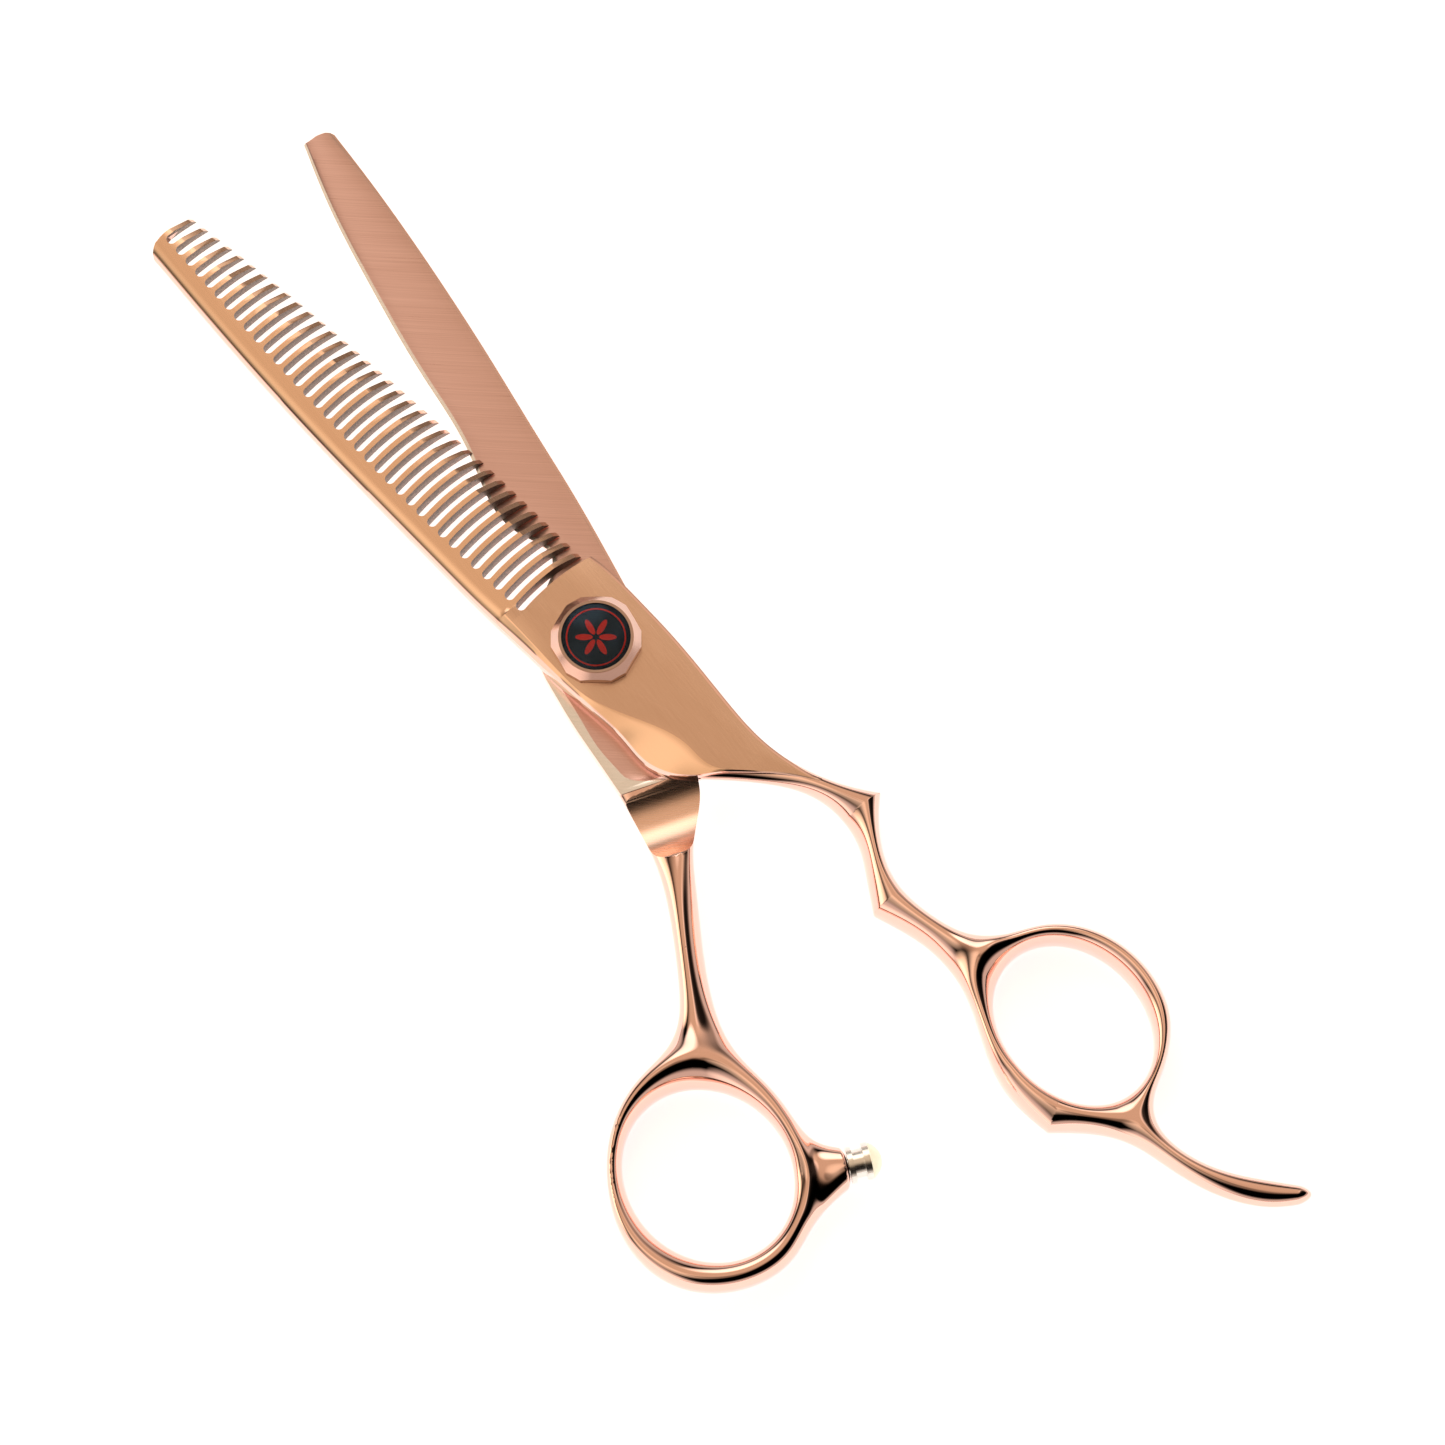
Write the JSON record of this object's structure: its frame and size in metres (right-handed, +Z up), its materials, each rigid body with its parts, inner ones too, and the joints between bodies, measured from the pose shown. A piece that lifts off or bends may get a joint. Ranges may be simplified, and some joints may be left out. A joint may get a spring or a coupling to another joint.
{
  "type": "hair thinning shears",
  "caption": "Rose-gold hair thinning shears: a toothed comb blade and a plain blade on an adjustable dial pivot, offset handle, finger rest and bumper.",
  "frame": {"origin": "on the pivot axis, in the plane that the shears rest on when laid down", "axes": "+Z up along the pivot axis towards the dial; +Y towards the blade tips, halfway between the open blades; +X towards the plain blade's side"},
  "size_m": [0.0655, 0.1689, 0.0089],
  "materials": {
    "rose_gold_polished": "mirror-polished rose-gold coating over steel",
    "rose_gold_satin": "fine brushed rose-gold coating over steel, bare ground edges",
    "steel_bright": "turned and polished bare steel",
    "spring_steel": "plain spring steel",
    "bearing_plastic": "white low-friction bearing plastic",
    "enamel_black": "black enamel with a fine red ring",
    "clear_dome": "clear glossy dome",
    "pad_cream": "soft cream bumper rubber"
  },
  "bodies": {
    "still_half": {"comb_blade": "rose_gold_satin", "finger_shank": "rose_gold_polished", "finger_ring": "rose_gold_polished", "finger_rest": "rose_gold_polished", "pivot_bushing": "bearing_plastic"},
    "thumb_half": {"plain_blade": "rose_gold_satin", "thumb_shank": "rose_gold_polished", "thumb_ring": "rose_gold_polished", "pivot_bolt": "rose_gold_polished", "glide_washer": "bearing_plastic", "bumper_stud": "steel_bright", "bumper_collar": "steel_bright", "bumper_pad": "pad_cream", "pressure_washer": "steel_bright", "spring_washer": "spring_steel"},
    "click_carrier": {"click_plate": "spring_steel"},
    "dial": {"dial_nut": "rose_gold_polished", "detent_ball": "steel_bright", "dial_bezel": "steel_bright", "dial_disc": "enamel_black", "dial_lens": "clear_dome"}
  },
  "joints": [
    {"name": "pivot", "type": "hinge", "parent": "still_half", "child": "thumb_half", "pos_m": [0, 0, 0], "axis": [0, 0, 1], "range_deg": [-90, 13.2]},
    {"name": "tension_travel", "type": "slide", "parent": "thumb_half", "child": "click_carrier", "axis": [0, 0, 1], "range_m": [-0.000125, 0.000125], "deforming": ["spring_washer"]},
    {"name": "dial_turn", "type": "hinge", "parent": "click_carrier", "child": "dial", "pos_m": [0, 0, 0.007], "axis": [0, 0, 1], "range_deg": [-90, 90]}
  ],
  "couplings": [
    {"joint": "dial_turn", "follows": "tension_travel", "rad_per_m": 12566}
  ]
}
